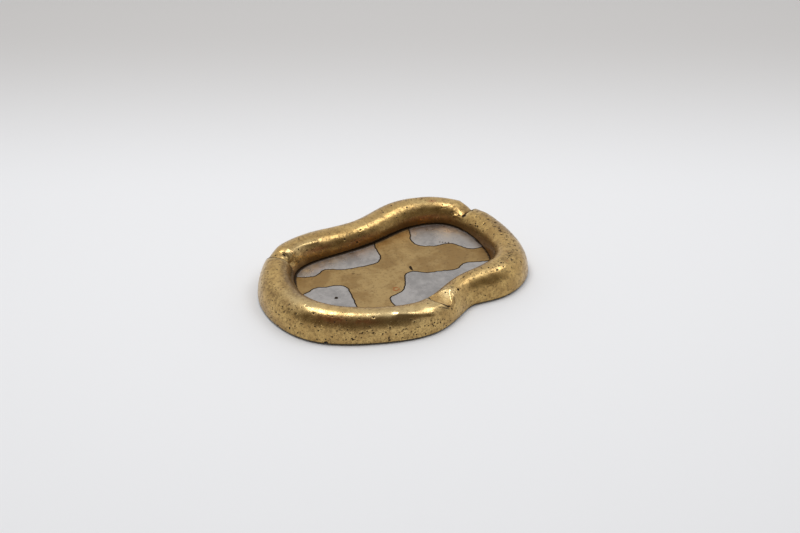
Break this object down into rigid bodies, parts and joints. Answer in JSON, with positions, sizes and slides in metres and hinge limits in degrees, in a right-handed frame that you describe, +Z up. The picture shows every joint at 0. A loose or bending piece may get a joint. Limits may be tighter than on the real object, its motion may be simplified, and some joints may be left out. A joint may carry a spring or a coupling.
{
  "type": "ashtray",
  "caption": "Heavy cast ashtray: a thick uneven oval brass rim with lapped cigarette rests round a flat brass and aluminium patchwork floor.",
  "frame": {"origin": "centre of the bounding box's footprint, on the surface the ashtray stands on", "axes": "+X along the longest side, +Y along the width towards the side with one cigarette rest at its left end, +Z up out of the bowl"},
  "size_m": [0.1999, 0.143, 0.0226],
  "materials": {
    "rim_brass": "hand polished casting with pits and brown patina in the hollows",
    "floor_brass": "dull, finely scratched",
    "inlay_aluminium": "dull, scratched and slightly pitted",
    "base_felt": "thin pressed felt"
  },
  "bodies": {
    "root": {"rim_casting": "rim_brass", "floor_casting": "floor_brass", "inlay_back_left": "inlay_aluminium", "inlay_back_right": "inlay_aluminium", "inlay_front_left": "inlay_aluminium", "inlay_front_right": "inlay_aluminium", "base_felt": "base_felt"}
  },
  "joints": []
}
